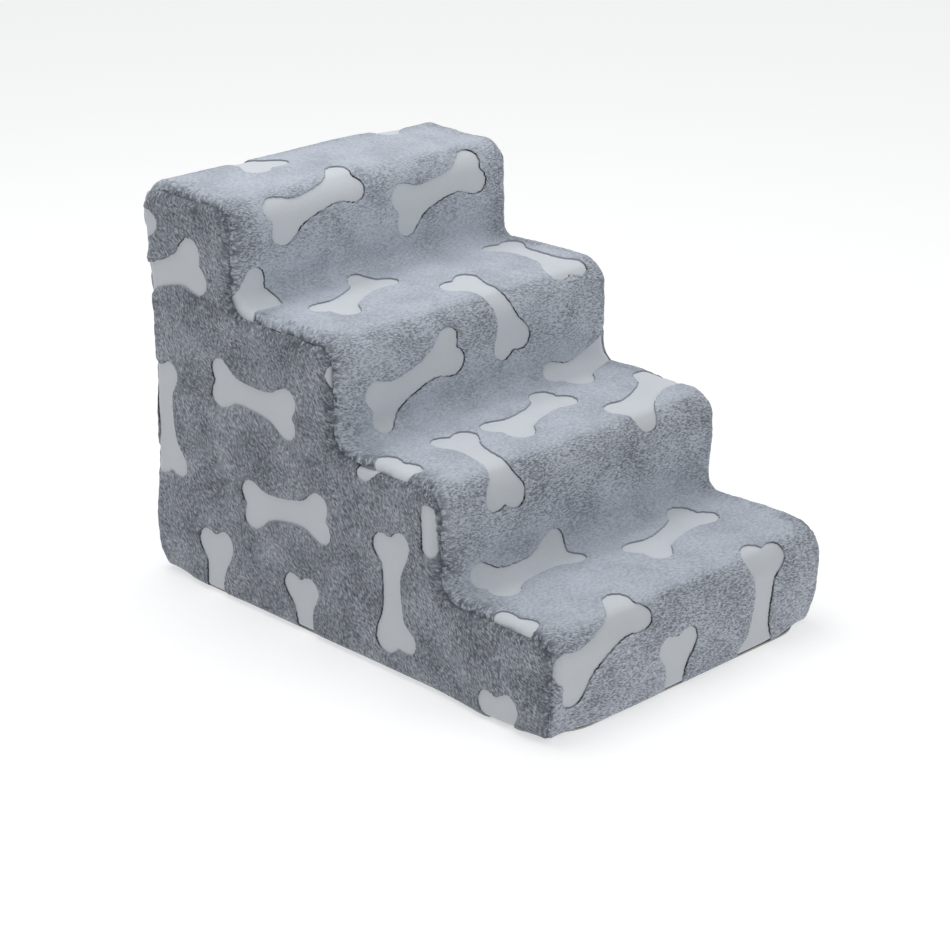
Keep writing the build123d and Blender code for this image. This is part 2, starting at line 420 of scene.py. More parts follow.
def sides_of(triangles):
    """The two ends of every side of the triangles."""
    return np.vstack([triangles[:, [0, 1]], triangles[:, [1, 2]], triangles[:, [2, 0]]])


def rim_of(triangles):
    """The points of a panel's edge in order."""
    count = triangles.max() + 1
    pairs = sides_of(triangles)
    keys = pairs[:, 0] * count + pairs[:, 1]
    back = pairs[:, 1] * count + pairs[:, 0]
    open_pairs = pairs[~np.isin(keys, back)]
    follow = dict(open_pairs.tolist())
    first = int(open_pairs[0, 0])
    ring = [first]
    while follow[ring[-1]] != first:
        ring.append(follow[ring[-1]])
    return np.array(ring)


# ---------------------------------------------------------------- the cover's form


class CoverForm:
    """Wraps flat plush round the stairs and settles it as sewn cloth."""

    FINE = 0.001
    CORNER_CURL = 0.012
    CORNER_HEIGHT = 0.060
    CORNER_REACH = 0.038
    # The middle of the fold beside the left seam above step three, and its reach
    CREASE = ((-0.184, 0.075, 0.290), 0.040)
    # Where loose cloth stands out of square: a place, how far round it and by how much
    SAGS = (
        ((-0.184, -0.240, 0.00), 0.060, (-0.011, -0.003, 0)),
        ((-0.184, 0.275, 0.02), 0.070, (-0.005, 0.004, 0)),
        ((-0.184, 0.275, 0.37), 0.050, (-0.004, 0.002, 0)),
        ((0.184, 0.220, 0.40), 0.130, (-0.001, 0, -0.009)),
        ((0.184, -0.200, 0.10), 0.080, (0, 0, 0.003)),
        ((0.184, -0.135, 0.16), 0.050, (0.002, -0.003, 0)),
    )

    def __init__(self, shape):
        self.shape = shape
        self.flat_half = WIDE / 2 - shape.side
        self.seam_half = self.flat_half + shape.side * math.pi / 4
        self.floor = BASE_T + 0.2 * MM
        self.hem = self.floor + shape.curl * (1 - math.pi / 2)
        self.trace()
        self.top_seam = self.total - (TALL - shape.back - self.hem) - shape.back * math.pi / 4
        self.cage = Cage(self)

    def trace(self):
        """The side outline from the front hem over the top to the back hem, with outward normals."""
        shape = self.shape
        points = [(-LONG / 2, self.hem)]
        normals = [(-1.0, 0.0)]

        def bend(y, z, radius, start, stop, way):
            steps = math.ceil(abs(math.radians(stop - start)) * radius / self.FINE)
            for angle in np.radians(np.linspace(start, stop, steps + 1)):
                points.append((y + radius * math.cos(angle), z + radius * math.sin(angle)))
                normals.append((way * math.cos(angle), way * math.sin(angle)))

        for step in range(STEPS):
            riser = -LONG / 2 + step * GOING
            tread = (step + 1) * RISE
            bend(riser + shape.nose, tread - shape.nose, shape.nose, 180, 90, 1)
            if step < STEPS - 1:
                bend(riser + GOING - shape.foot, tread + shape.foot, shape.foot, 270, 360, -1)
        bend(LONG / 2 - shape.back, TALL - shape.back, shape.back, 90, 0, 1)
        points.append((LONG / 2, self.hem))
        normals.append((1.0, 0.0))
        self.points = np.array(points)
        self.normals = np.array(normals)
        runs = np.linalg.norm(np.diff(self.points, axis=0), axis=1)
        self.length = np.r_[0, np.cumsum(runs)]
        self.total = self.length[-1]

    def at(self, along):
        """Outline point and normal at each length along the cloth."""
        point = np.column_stack([np.interp(along, self.length, self.points[:, k]) for k in (0, 1)])
        normal = np.column_stack([np.interp(along, self.length, self.normals[:, k]) for k in (0, 1)])
        return point, normal / np.linalg.norm(normal, axis=1)[:, None]

    def wrap(self, flat):
        """Places cloth that runs over the stairs: across from the middle, along from the front hem."""
        across, along = flat.T
        side = np.sign(across)
        turn = np.clip(np.abs(across) - self.flat_half, 0, None) / self.shape.side
        point, normal = self.at(along)
        inset = self.shape.side * (1 - np.cos(turn))
        x = side * (np.minimum(np.abs(across), self.flat_half) + self.shape.side * np.sin(turn))
        place = np.column_stack([x, point - normal * inset[:, None]])
        facing = np.column_stack([side * np.sin(turn), normal * np.cos(turn)[:, None]])
        seam = np.minimum(self.seam_half - np.abs(across), np.abs(along - self.top_seam))
        return *self.tuck(place, facing), seam, along

    def hang(self, flat, side):
        """Places cloth on a flank: distance behind the middle and height."""
        radius = self.shape.side
        inset, nearest = nearest_on_path(flat, self.points)
        turn = np.arccos(np.clip(1 - inset / radius, 0, 1))
        x = side * (WIDE / 2 - radius + radius * np.sin(turn))
        normal = self.at(nearest)[1] * np.cos(turn)[:, None]
        facing = np.column_stack([side * np.sin(turn), normal])
        seam = radius * (turn - math.pi / 4) + np.clip(inset - radius, 0, None)
        return *self.tuck(np.column_stack([x, flat]), facing), np.clip(seam, 0, None), nearest

    def tuck(self, place, facing):
        """Curls the lower edge under, more at the four upright corners."""
        curl = self.shape.curl
        x, y, z = place.T
        over = np.column_stack([
            np.abs(x) - self.flat_half,
            np.abs(y) - (LONG / 2 - self.shape.side)])
        out = np.maximum(over, 0)
        out[over.max(1) <= 0] = (1, 0)
        out = out / np.linalg.norm(out, axis=1)[:, None] * np.sign(place[:, :2])
        turn = np.clip((self.floor + curl - z) / curl, 0, math.pi / 2)
        corner = np.exp(-(np.minimum(over, 0) ** 2).sum(1) / self.CORNER_REACH ** 2)
        low = np.clip(1 - z / self.CORNER_HEIGHT, 0, 1)
        pull = curl * (1 - np.cos(turn)) + self.CORNER_CURL * corner * low ** 2
        place = place.copy()
        place[:, :2] -= out * pull[:, None]
        place[:, 2] = np.where(turn > 0, self.floor + curl * (1 - np.sin(turn)), z)
        lean = turn + corner * low * 0.4
        facing = facing * np.cos(lean)[:, None]
        facing[:, 2] -= np.sin(lean)
        return place, facing / np.linalg.norm(facing, axis=1)[:, None]

    def combed_and_lit(self, along):
        """How flat and how pale the pile lies along the strip: flat on a tread and less up each riser from
        its foot, painted pale as top light and sheen on the treads, bounce light at the risers' feet and
        light growing towards the top.
        """
        point, normal = self.at(along)
        level = np.clip((normal[:, 1] - 0.72) / 0.25, 0, 1)
        front = point[:, 0] < LONG / 2 - self.shape.back
        # Painted light: the front of the strip is painted paler the higher it is
        high = np.interp(point[:, 1], (0.19, 0.25, TALL), (0, 0.38, 0.58))
        level = np.maximum(level, high * front)
        for step in range(1, STEPS):
            corner = np.array([[-LONG / 2 + step * GOING, step * RISE]])
            foot = nearest_on_path(corner, self.points)[1][0]
            # Painted bounce light, fading up each riser from its foot
            up = (along - foot + 0.016) / (0.080 + 0.018 * step)
            level = np.maximum(level, np.where(up > 0, np.clip(1 - up, 0, 1), 0))
        return level

    def sag(self, place):
        """How far loose cloth stands out of square."""
        moved = np.zeros_like(place)
        for centre, reach, move in self.SAGS:
            gap = np.linalg.norm(place - centre, axis=1)
            moved += hill(gap, 0, reach)[:, None] * np.array(move)
        return moved

    def bulge(self, place):
        """Slow hollows and swells of cloth over soft foam, as distances out of the surface."""
        slow = waves(place, 0.12, 3) * 0.7 * MM
        y, z = place[:, 1], place[:, 2]
        step = np.clip(np.round(z / RISE), 1, STEPS)
        middle = -LONG / 2 + (step - 0.5) * GOING
        on_tread = hill(z, step * RISE, 0.004)
        crown = np.clip(1 - ((y - middle) / (GOING / 2)) ** 2, 0, 1) * on_tread * 1.4 * MM
        return slow + crown

    def settle(self, place, facing, seam, along, key):
        """Pulls the seams in, gathers the cloth beside them and lets it swell over the foam."""
        shape = self.shape
        line = np.column_stack([along, seam * 0.3])
        deep = 0.8 + 0.2 * waves(line[:, :1], 0.045, key + 2)
        valley = -shape.seam * np.clip(deep, 0.5, 1.0) * hill(seam, 0, 0.0036)
        roll = 0.0010 * hill(seam, 0.010, 0.006)
        gather = waves(line, 0.030, key) * shape.pucker * hill(seam, 0.004, 0.012)
        ruffle = waves(line, 0.0072, key + 1) * 0.25 * MM * hill(seam, 0.003, 0.006)
        near = np.exp(-(np.linalg.norm(place - self.CREASE[0], axis=1) / self.CREASE[1]) ** 4)
        fold = hill(seam, 0.013, 0.0026) - hill(seam, 0.0085, 0.0022)
        rise = valley + roll + gather + ruffle + self.bulge(place) + fold * near * 1.7 * MM
        free = np.clip((place[:, 2] - self.floor) / 0.03, 0, 1)
        moved = place + facing * (rise * (0.35 + 0.65 * free))[:, None] + self.sag(place)
        moved += self.cage.carry(place)
        moved[:, 2] = np.maximum(moved[:, 2], self.floor)
        return moved


@functools.cache
def cover_form():
    """The cover's form, made once."""
    return CoverForm(bpy.context.scene.cover_shape)


class Cage:
    """A coarse cover that is inflated as cloth, and what each point of it moved by."""

    GAP = 0.012
    FRAMES = 16
    HEM_BAND = 0.02
    SOLVER = {
        "quality": 6, "mass": 0.25, "tension_stiffness": 12, "compression_stiffness": 12,
        "shear_stiffness": 6, "bending_stiffness": 1.5, "pin_stiffness": 0.6,
        "use_pressure": True, "uniform_pressure_force": 4}

    def __init__(self, form):
        self.form = form
        self.build()
        self.tree = BVHTree.FromPolygons(self.rest.tolist(), self.triangles.tolist())
        self.move = np.zeros_like(self.rest)
        self.inflate()

    def build(self):
        """The whole plush cover as one welded skin, open underneath."""
        form = self.form
        columns = np.linspace(-form.seam_half, form.seam_half, round(2 * form.seam_half / self.GAP) + 1)
        rows = np.linspace(0, form.total, round(form.total / self.GAP) + 1)
        across, along = np.meshgrid(columns, rows)
        strip = form.wrap(np.column_stack([across.ravel(), along.ravel()]))[0]
        wide = len(columns)
        index = np.arange(len(strip)).reshape(len(rows), wide)
        quads = np.stack([index[:-1, :-1], index[:-1, 1:], index[1:, 1:], index[1:, :-1]], -1).reshape(-1, 4)
        triangles = [quads[:, [0, 1, 2]], quads[:, [0, 2, 3]]]
        points = [strip]
        total = len(strip)
        for side, edge in ((-1, index[:, 0]), (1, index[:, -1])):
            flat, faces, origins = flank_mesh(form, rows, self.GAP)
            names = np.arange(len(flat)) + total
            for k, origin in enumerate(origins):
                if origin and origin[0] < len(rows):
                    names[k] = edge[origin[0]]
            points.append(form.hang(flat, side)[0])
            total += len(flat)
            faces = names[faces]
            triangles.append(faces if side > 0 else faces[:, ::-1])
        points = np.vstack(points)
        used, faces = np.unique(np.vstack(triangles), return_inverse=True)
        self.rest = points[used]
        self.triangles = faces.reshape(-1, 3)

    def hold(self):
        """How firmly each point is held: fast at the hem and the feet, softly elsewhere."""
        y, z = self.rest[:, 1], self.rest[:, 2]
        firm = np.full(len(y), 0.30)
        firm[z < self.HEM_BAND] = 1.0
        for step in range(1, STEPS):
            foot = np.array([-LONG / 2 + step * GOING, step * RISE])
            near = np.hypot(y - foot[0], z - foot[1]) < self.form.shape.foot
            firm[near] = 0.9
        return firm

    def inflate(self):
        """Blows the skin up a little with the cloth solver and keeps what each point moved by."""
        mesh = bpy.data.meshes.new("cover_cage")
        mesh.from_pydata(self.rest.tolist(), [], self.triangles.tolist())
        skin = bpy.data.objects.new("cover_cage", mesh)
        bpy.context.scene.collection.objects.link(skin)
        group = skin.vertex_groups.new(name="hold")
        for k, weight in enumerate(self.hold()):
            group.add([k], float(weight), "REPLACE")
        cloth = skin.modifiers.new("cloth", "CLOTH")
        for setting, value in self.SOLVER.items():
            setattr(cloth.settings, setting, value)
        cloth.settings.vertex_group_mass = "hold"
        cloth.settings.effector_weights.gravity = 0
        cloth.point_cache.frame_start = 1
        cloth.point_cache.frame_end = self.FRAMES
        scene = bpy.context.scene
        for number in range(1, self.FRAMES + 1):
            scene.frame_set(number)
        blown = skin.evaluated_get(bpy.context.evaluated_depsgraph_get())
        moved = np.empty(len(self.rest) * 3)
        blown.data.vertices.foreach_get("co", moved)
        move = moved.reshape(-1, 3) - self.rest
        bpy.data.objects.remove(skin)
        bpy.data.meshes.remove(mesh)
        scene.frame_set(1)
        size = np.linalg.norm(move, axis=1)
        cap = self.form.shape.swell
        move *= (cap * np.tanh(size / cap) / np.maximum(size, 1e-9))[:, None]
        self.move = self.eased(move)

    def eased(self, move):
        """The moves averaged with their neighbours."""
        pairs = sides_of(self.triangles)
        for _ in range(2):
            total = move * 2
            count = np.full(len(move), 2.0)
            for a, b in (pairs.T, pairs.T[::-1]):
                np.add.at(total, a, move[b])
                np.add.at(count, a, 1)
            move = total / count[:, None]
        return move

    def carry(self, places):
        """What the inflated skin moves each place by."""
        result = np.empty_like(places)
        corners = [[Vector(point) for point in self.rest[self.triangles[:, k]]] for k in range(3)]
        moves = [[Vector(point) for point in self.move[self.triangles[:, k]]] for k in range(3)]
        for k, place in enumerate(places):
            spot, _, face, _ = self.tree.find_nearest(place)
            result[k] = barycentric_transform(
                spot, *(corner[face] for corner in corners), *(move[face] for move in moves))
        return result

    def press(self, places, gap):
        """Pushes places in until they lie `gap` inside the cover."""
        skin = self.rest + self.form.sag(self.rest)
        tree = BVHTree.FromPolygons(skin.tolist(), self.triangles.tolist())
        result = places.copy()
        for k, place in enumerate(places):
            spot, normal, _, _ = tree.find_nearest(place)
            over = Vector(place) - spot
            out = over.dot(normal)
            if out > -gap and (over - out * normal).length < gap:
                result[k] = spot - gap * normal
        return result


def flank_border(form, along):
    """The flat edge of a flank: the seam line over the top, then the hem."""
    point, normal = form.at(along)
    seam = point - normal * form.shape.side * (1 - math.cos(math.pi / 4))
    return seam[::-1]


def flank_mesh(form, along, gap):
    """A coarse flat flank; each border point keeps its number along the seam."""
    seam = flank_border(form, along)[::-1]
    hem = even_ring(np.array([seam[-1], seam[0]]), gap)
    hem = hem[(hem[:, 0] < seam[-1, 0] - gap / 3) & (hem[:, 0] > seam[0, 0] + gap / 3)]
    hem = np.unique(hem.round(7), axis=0)[::-1]
    ring = np.vstack([seam, hem])
    scatter = hex_points(ring.min(0), ring.max(0), gap)
    scatter = scatter[inside_ring(scatter, ring)]
    scatter = scatter[from_ring(scatter, ring) > gap * 0.5]
    order = np.r_[0, np.arange(len(ring) - 1, 0, -1)]
    points, faces, origins = triangulate(ring[order] / MM, [], scatter / MM)
    numbered = [[int(order[origin[0]])] if origin and origin[0] < len(ring) else [] for origin in origins]
    return points * MM, faces, numbered


# ---------------------------------------------------------------- plush panels


class Plush:
    """Cuts one panel of plush, shears its bones and sews it on as a closed thin sheet."""

    RIM_EASE = 1.4
    EDGE_REACH = 3
    FINE_REACH = 12
    FINE_SHARE = 0.6
    BACK_GAP = 8.0
    TUFT = 0.16

    def __init__(self, name, border, bones, place, pile, lean, flip=False):
        self.name = name
        self.pile = pile
        self.lean = lean
        self.grain = bpy.context.scene.cover_shape.grain / MM
        self.border = self.turned(border)
        self.bones = [Bone(*spot, seed=k + len(name)) for k, spot in enumerate(bones)]
        self.bones = [bone for bone in self.bones if inside_ring(bone.rim, self.border).any()]
        self.place = place
        self.flip = flip

    @staticmethod
    def turned(ring):
        """The ring counterclockwise, in millimetres."""
        return (ring if signed_area(ring) > 0 else ring[::-1]) / MM

    def scatter(self, gap, margin):
        """Points spread over the panel, clear of its border."""
        spread = hex_points(self.border.min(0), self.border.max(0), gap)
        spread = spread[inside_ring(spread, self.border)]
        return spread[from_ring(spread, self.border) > margin]

    def lattice(self):
        """Points over the panel, closer together beside its edge where the cloth is gathered."""
        spread = self.scatter(self.grain, self.grain * 0.55)
        from_edge = from_ring(spread, self.border)
        fine = self.scatter(self.grain * self.FINE_SHARE, self.grain * 0.4)
        beside = from_ring(fine, self.border) < self.FINE_REACH
        return np.vstack([spread[from_edge > self.FINE_REACH + self.grain * 0.4], fine[beside]])

    def cut(self):
        """Flat points and triangles, and how deep into a bone each point is."""
        spread = self.lattice()
        for bone in self.bones:
            depth = bone.depths(spread)
            clear = (depth < -self.grain * 0.45) | (depth > bone.WALL + self.grain * 0.35)
            spread = spread[clear]
        rings = [ring for bone in self.bones for ring in (bone.rim, bone.foot)]
        self.flat, self.triangles, _ = triangulate(self.border, rings, spread)
        self.depth = np.full(len(self.flat), -np.inf)
        self.lee = np.zeros(len(self.flat))
        for bone in self.bones:
            depth = bone.depths(self.flat)
            self.depth = np.maximum(self.depth, depth)
            beside = np.abs(depth) < self.EDGE_REACH
            self.lee[beside] = bone.lee(self.flat[beside], self.lean)

    def kinds(self):
        """Which kind each triangle of the outer side is."""
        middles = self.flat[self.triangles].mean(1)
        kind = np.full(len(middles), PILE)
        for bone in self.bones:
            kind[bone.depths(middles) > 0] = ROOT_SHADE
            kind[bone.on_floor(middles)] = SHEARED
        return kind

    def hollow(self):
        """How far each point lies below the pile's tips."""
        shear = bpy.context.scene.cover_shape.shear
        wall = np.clip(self.depth / (Bone.WALL * 0.8), 0, 1)
        eased = 0.6 * MM * np.exp(np.minimum(self.depth, 0) / self.RIM_EASE)
        draw = np.random.default_rng(len(self.flat))
        tufts = draw.uniform(-self.TUFT, self.TUFT, len(self.flat)) * MM * (self.depth < -1.0)
        return shear * wall + np.where(self.depth > 0.05, 0, eased) + tufts

    def sew(self):
        """The finished sheet: pile outside, knit backing inside, closed along its edge."""
        self.cut()
        surface, facing, seam, combed_and_lit = self.place(self.flat * MM)
        along = self.edge_run(self.flat)
        front = surface - facing * self.hollow()[:, None]
        rim = rim_of(self.triangles)
        coarse = self.scatter(self.BACK_GAP, self.BACK_GAP / 2)
        flat_back, back_faces, origins = triangulate(self.flat[rim], [], coarse)
        surface, facing, _, _ = self.place(flat_back * MM)
        back = surface - facing * bpy.context.scene.cover_shape.cloth
        home = {origin[0]: k for k, origin in enumerate(origins) if origin and origin[0] < len(rim)}
        inner = np.array([home[k] for k in range(len(rim))]) + len(front)
        quads = np.column_stack([rim, inner, np.roll(inner, -1), np.roll(rim, -1)])
        parts = [self.triangles, back_faces[:, ::-1] + len(front), quads]
        kinds = np.r_[self.kinds(), np.full(len(back_faces) + len(quads), BACKING)]
        if self.flip:
            parts = [part[:, ::-1] for part in parts]
        flat = np.vstack([self.flat, flat_back]) * MM
        behind = np.zeros(len(back))
        wander = waves(along[:, None], 0.028, 9) * 1.3 * MM + waves(self.flat, 9.0, 8) * 0.5 * MM
        marks = {
            "seam": np.r_[np.maximum(seam + wander, 0), behind],
            "combed_and_lit": np.r_[combed_and_lit, behind],
            "lee": np.r_[self.lee, behind]}
        return self.mesh(np.vstack([front, back]), parts, kinds, flat, marks)

    def edge_run(self, points):
        """How far round the panel each point's nearest edge point is, in metres."""
        steps = np.linalg.norm(self.border - np.roll(self.border, 1, axis=0), axis=1)
        length = np.cumsum(steps)
        result = np.empty(len(points))
        for low in range(0, len(points), BATCH):
            gaps = ((points[low:low + BATCH, None] - self.border[None]) ** 2).sum(2)
            result[low:low + BATCH] = length[gaps.argmin(1)]
        return result * MM

    def mesh(self, points, parts, kinds, flat, marks):
        """The sheet as a Blender object with its cloth coordinates and materials."""
        mesh = bpy.data.meshes.new(self.name)
        mesh.from_pydata(points.tolist(), [], [face for part in parts for face in part.tolist()])
        mesh.polygons.foreach_set("material_index", kinds)
        mesh.polygons.foreach_set("use_smooth", np.ones(len(kinds), bool))
        cloth = mesh.attributes.new("cloth", "FLOAT_VECTOR", "POINT")
        cloth.data.foreach_set("vector", np.column_stack([flat, np.zeros(len(flat))]).ravel())
        for name, values in marks.items():
            mesh.attributes.new(name, "FLOAT", "POINT").data.foreach_set("value", values)
        mark_sharp(mesh, kinds)
        self.unwrap(mesh, flat, kinds)
        for material in (self.pile, sheared_nap(), pile_root_shade(), knit_backing()):
            mesh.materials.append(material)
        return add_object(self.name, mesh)

    def unwrap(self, mesh, flat, kinds):
        """Lays the pile side out flat, with the backing small in a corner."""
        low = flat.min(0)
        extent = (flat - low).max()
        large = (flat - low) / extent * 0.86 + 0.005
        small = (flat - low) / extent * 0.11 + 0.88
        corners = np.empty(len(mesh.loops), int)
        mesh.loops.foreach_get("vertex_index", corners)
        sizes = np.empty(len(mesh.polygons), int)
        mesh.polygons.foreach_get("loop_total", sizes)
        behind = np.repeat(kinds == BACKING, sizes)
        places = np.where(behind[:, None], small[corners], large[corners])
        layer = mesh.uv_layers.new(name="OFBake")
        layer.data.foreach_set("uv", places.ravel())


def mark_sharp(mesh, kinds):
    """Keeps the edges between two kinds of face crisp."""
    lowest = np.full(len(mesh.edges), BACKING)
    highest = np.full(len(mesh.edges), PILE)
    loops = np.empty(len(mesh.loops), int)
    mesh.loops.foreach_get("edge_index", loops)
    sizes = np.empty(len(mesh.polygons), int)
    mesh.polygons.foreach_get("loop_total", sizes)
    kind = np.repeat(kinds, sizes)
    np.minimum.at(lowest, loops, kind)
    np.maximum.at(highest, loops, kind)
    sharp = mesh.attributes.new("sharp_edge", "BOOLEAN", "EDGE")
    sharp.data.foreach_set("value", lowest != highest)


def add_object(name, mesh):
    """A new object in the scene."""
    made = bpy.data.objects.new(name, mesh)
    bpy.context.scene.collection.objects.link(made)
    return made


def slot_edge(form, side):
    """The curved edge of the slot that the zip shows in: side is +1 above it and -1 below."""
    straight = CHAIN_HALF + 4 * MM
    ease = 8 * MM
    across = np.arange(-form.seam_half, form.seam_half, 3 * MM)
    across = np.r_[across, form.seam_half]
    over = np.clip((np.abs(across) - straight) / ease, 0, 1)
    height = ZIP_Z + side * SLOT_HALF * np.sqrt(1 - over ** 2)
    return np.column_stack([across, form.total - (height - form.hem)])


def add_plush(name, node, panel):
    """Sews a panel, attaches it to the stairs and hides the frame part that it replaces."""
    piece = panel.sew()
    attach(piece, "stairs")
    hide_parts(node)
    return piece


def sew_strip():
    """The one strip over the front, risers, treads and top."""
    form = cover_form()
    half = form.seam_half
    corners = np.array([(-half, 0), (half, 0), (half, form.top_seam), (-half, form.top_seam)])
    border = even_ring(corners, 3 * MM)

    def place(flat):
        where, facing, seam, along = form.wrap(flat)
        return form.settle(where, facing, seam, along, 11), facing, seam, form.combed_and_lit(along)

    shift = form.hem / MM
    bones = [(x, y - shift, *turns) for x, y, *turns in STRIP_BONES]
    panel = Plush("plush_strip", border, bones, place, strip_pile(), STRIP_LEAN)
    return add_plush("plush_strip", "stair_panel", panel)


def sew_flank(side):
    """One stair-shaped flank: side is -1 for the left and +1 for the right."""
    form = cover_form()
    steps = round(form.total / (3 * MM))
    seam = flank_border(form, np.linspace(0, form.total, steps + 1))
    hem = even_ring(np.array([seam[-1], seam[0]]), 3 * MM)
    hem = hem[(hem[:, 0] > seam[-1, 0] + MM) & (hem[:, 0] < seam[0, 0] - MM)]
    hem = np.unique(hem.round(7), axis=0)
    border = np.vstack([seam, hem])

    def place(flat):
        where, facing, gap, along = form.hang(flat, side)
        return form.settle(where, facing, gap, along, 21 + side), facing, gap, np.zeros(len(flat))

    name = "plush_flank_left" if side < 0 else "plush_flank_right"
    node = "left_side_panel" if side < 0 else "right_side_panel"
    bones = LEFT_BONES if side < 0 else RIGHT_BONES
    panel = Plush(name, border, bones, place, flank_pile(), FLANK_LEAN, flip=side < 0)
    return add_plush(name, node, panel)


def sew_back(side):
    """One of the two back panels: side is +1 above the zip and -1 below it."""
    form = cover_form()
    half = form.seam_half
    edge = slot_edge(form, side)
    last = form.top_seam if side > 0 else form.total
    ends = even_ring(np.vstack([edge[-1:], [(half, last), (-half, last)], edge[:1]]), 3 * MM)
    reach = np.abs(ends[:, 1] - edge[0, 1]) > 1.5 * MM
    border = np.vstack([edge, ends[reach]])

    def place(flat):
        where, facing, seam, along = form.wrap(flat)
        if side < 0:
            seam = half - np.abs(flat[:, 0])
        moved = form.settle(where, facing, seam, along, 31 + side)
        lip = np.clip(1 - nearest_on_path(flat, edge)[0] / (5 * MM), 0, 1)
        fold = 4.4 * MM * (1 - np.sqrt(1 - lip ** 2))
        return moved - facing * fold[:, None], facing, seam, form.combed_and_lit(along)

    name = "plush_back_upper" if side > 0 else "plush_back_lower"
    node = "back_panel_upper" if side > 0 else "back_panel_lower"
    panel = Plush(name, border, BACK_BONES, place, strip_pile(), STRIP_LEAN)
    return add_plush(name, node, panel)


# ---------------------------------------------------------------- materials


def node(tree, kind, links=None, **settings):
    """Adds a node; links gives its inputs sockets or values by name or number."""
    made = tree.nodes.new(kind)
    for name, value in settings.items():
        setattr(made, name, value)
    for key, value in (links or {}).items():
        if isinstance(value, bpy.types.NodeSocket):
            tree.links.new(value, made.inputs[key])
        else:
            made.inputs[key].default_value = value
    return made


def blank_material(name):
    """A node material with one shader, and its tree."""
    material = bpy.data.materials.new(name)
    material.use_nodes = True
    tree = material.node_tree
    return material, tree, tree.nodes["Principled BSDF"]


def ramp(tree, value, low, high, start=0.0, stop=1.0):
    """A value eased from start to stop as the input goes from low to high."""
    made = node(tree, "ShaderNodeMapRange", {
        "Value": value, "From Min": low, "From Max": high, "To Min": start, "To Max": stop},
        interpolation_type="SMOOTHSTEP")
    return made.outputs["Result"]


def sums(tree, kind, first, *more):
    """One value and others, put together by one kind of arithmetic."""
    for value in more:
        first = node(tree, "ShaderNodeMath", {0: first, 1: value}, operation=kind).outputs[0]
    return first


def mixed(tree, share, a, b):
    """Two colours mixed by a share."""
    made = node(tree, "ShaderNodeMix", data_type="RGBA")
    sockets = {"Factor": (0, share), "A": (6, a), "B": (7, b)}
    for number, value in sockets.values():
        if isinstance(value, bpy.types.NodeSocket):
            tree.links.new(value, made.inputs[number])
        elif number == 0:
            made.inputs[number].default_value = value
        else:
            made.inputs[number].default_value = (*value, 1)
    return made.outputs[2]


def shades(colour, share):
    """A colour made darker or paler by a share."""
    return tuple(share * value for value in colour)


def finish(tree, shader, colour, rough, height=None, depth=0.0, strength=1.0):
    """Gives a shader its colour, its roughness and, from heights, its relief."""
    tree.links.new(colour, shader.inputs["Base Color"])
    shader.inputs["Roughness"].default_value = rough
    if height:
        bump = node(tree, "ShaderNodeBump", {"Height": height, "Distance": depth, "Strength": strength})
        tree.links.new(bump.outputs[0], shader.inputs["Normal"])


def nap_sheen(shader, weight, rough):
    """The dull sheen of brushed pile."""
    shader.inputs["Specular IOR Level"].default_value = 0.15
    shader.inputs["Sheen Weight"].default_value = weight
    shader.inputs["Sheen Roughness"].default_value = rough


def noise(tree, vector, scale, detail=2.0, rough=0.5):
    """A noise texture's value."""
    made = node(tree, "ShaderNodeTexNoise", {
        "Vector": vector, "Scale": scale, "Detail": detail, "Roughness": rough})
    return made.outputs["Fac"]


def marked(tree, name):
    """A number that the mesh carries."""
    return node(tree, "ShaderNodeAttribute", attribute_name=name).outputs["Fac"]


def cloth_place(tree, sway, sway_size, seed=0.0):
    """Cloth coordinates in metres that wander a little."""
    place = node(tree, "ShaderNodeAttribute", attribute_name="cloth").outputs["Vector"]
    moved = node(tree, "ShaderNodeVectorMath", {0: place, 1: (seed, seed * 1.7, seed)}, operation="ADD")
    drift = node(tree, "ShaderNodeTexNoise", {"Vector": moved.outputs[0], "Scale": sway, "Detail": 1.0})
    centred = node(tree, "ShaderNodeVectorMath", {0: drift.outputs["Color"], 1: (0.5, 0.5, 0.5)},
                   operation="SUBTRACT")
    scaled = node(tree, "ShaderNodeVectorMath", {0: centred.outputs[0], "Scale": sway_size},
                  operation="SCALE")
    total = node(tree, "ShaderNodeVectorMath", {0: moved.outputs[0], 1: scaled.outputs[0]}, operation="ADD")
    return total.outputs[0]


def stretched(tree, vector, across, along, turn):
    """Coordinates whose unit is `along` long, in the direction of `turn` degrees, and `across` wide."""
    made = node(tree, "ShaderNodeMapping", {
        "Vector": vector, "Rotation": (0, 0, math.radians(turn)), "Scale": (along, across, 0.002)},
        vector_type="TEXTURE")
    return made.outputs[0]


